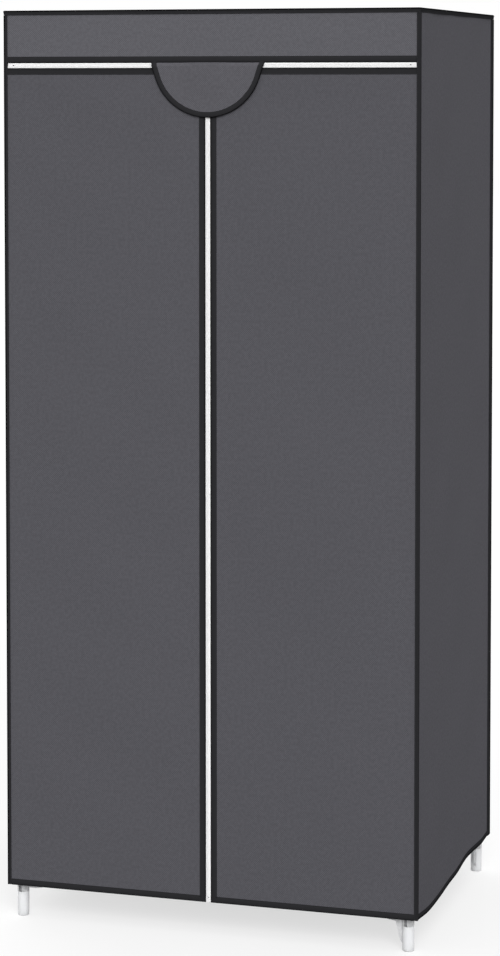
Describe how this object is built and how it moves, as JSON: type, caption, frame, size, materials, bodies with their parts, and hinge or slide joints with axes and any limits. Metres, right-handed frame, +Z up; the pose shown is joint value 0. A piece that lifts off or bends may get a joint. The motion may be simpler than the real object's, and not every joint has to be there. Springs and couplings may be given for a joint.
{
  "type": "portable fabric wardrobe",
  "caption": "Free-standing clothes wardrobe: steel tube frame in plastic corner connectors, zipped non-woven cover with two cloth doors and a zip flap.",
  "frame": {"origin": "on the floor, under the middle of the object's box", "axes": "+Z up, front with the doors towards -Y, width along X"},
  "size_m": [0.7, 0.53, 1.5],
  "materials": {
    "cloth": "grey non-woven cloth with a fine embossed diamond pattern",
    "binding": "near-black folded edge tape",
    "zip": "white nylon coil on woven tape",
    "connector": "translucent white moulded plastic",
    "tube": "grey zinc-coated steel",
    "slider": "satin nickel-plated casting",
    "ribbon": "woven ribbon"
  },
  "bodies": {
    "frame": {"foot_connector_front_left": "connector", "foot_connector_front_right": "connector", "foot_connector_back_left": "connector", "foot_connector_back_right": "connector", "top_connector_front_left": "connector", "top_connector_front_right": "connector", "top_connector_back_left": "connector", "top_connector_back_right": "connector", "lower_post_front_left": "tube", "lower_post_front_right": "tube", "lower_post_back_left": "tube", "lower_post_back_right": "tube", "upper_post_front_left": "tube", "upper_post_front_right": "tube", "upper_post_back_left": "tube", "upper_post_back_right": "tube", "bottom_rail_front": "tube", "bottom_rail_back": "tube", "bottom_rail_left": "tube", "bottom_rail_right": "tube", "top_rail_front": "tube", "top_rail_back": "tube", "top_rail_left": "tube", "top_rail_right": "tube", "hanging_rod": "tube", "rod_holder_left": "connector", "rod_holder_right": "connector", "bottom_shelf": "cloth", "top_panel": "cloth", "back_panel": "cloth", "left_panel": "cloth", "right_panel": "cloth", "valance_panel": "cloth", "top_binding": "binding", "corner_binding_front_left": "binding", "corner_binding_front_right": "binding", "corner_binding_back_left": "binding", "corner_binding_back_right": "binding", "hem_binding": "binding", "valance_binding": "binding", "valance_zip": "zip"},
    "left_door": {"left_door_panel": "cloth", "left_door_binding": "binding", "left_zip_level": "zip", "left_zip_upright": "zip"},
    "right_door": {"right_door_panel": "cloth", "right_door_binding": "binding", "right_zip_level": "zip", "right_zip_upright": "zip"},
    "flap": {"flap_panel": "cloth", "flap_binding": "binding"},
    "upright_zip_slider": {"upright_slider": "slider", "upright_pull": "ribbon"},
    "left_zip_slider": {"left_slider": "slider", "left_pull": "ribbon"},
    "right_zip_slider": {"right_slider": "slider", "right_pull": "ribbon"}
  },
  "joints": [
    {"name": "left_door_hinge", "type": "hinge", "parent": "frame", "child": "left_door", "pos_m": [-0.3437, -0.2601, 0.73], "axis": [0, 0, -1], "range_deg": [0, 170]},
    {"name": "right_door_hinge", "type": "hinge", "parent": "frame", "child": "right_door", "pos_m": [0.3437, -0.2601, 0.73], "axis": [0, 0, 1], "range_deg": [0, 170]},
    {"name": "flap_hinge", "type": "hinge", "parent": "frame", "child": "flap", "pos_m": [0, -0.2637, 1.4195], "axis": [-1, 0, 0], "range_deg": [0, 170]},
    {"name": "upright_zip_slide", "type": "slide", "parent": "left_door", "child": "upright_zip_slider", "axis": [0, 0, -1], "range_m": [0, 1.337]},
    {"name": "left_zip_slide", "type": "slide", "parent": "frame", "child": "left_zip_slider", "axis": [-1, 0, 0], "range_m": [0, 0.328]},
    {"name": "right_zip_slide", "type": "slide", "parent": "frame", "child": "right_zip_slider", "axis": [1, 0, 0], "range_m": [0, 0.328]}
  ]
}
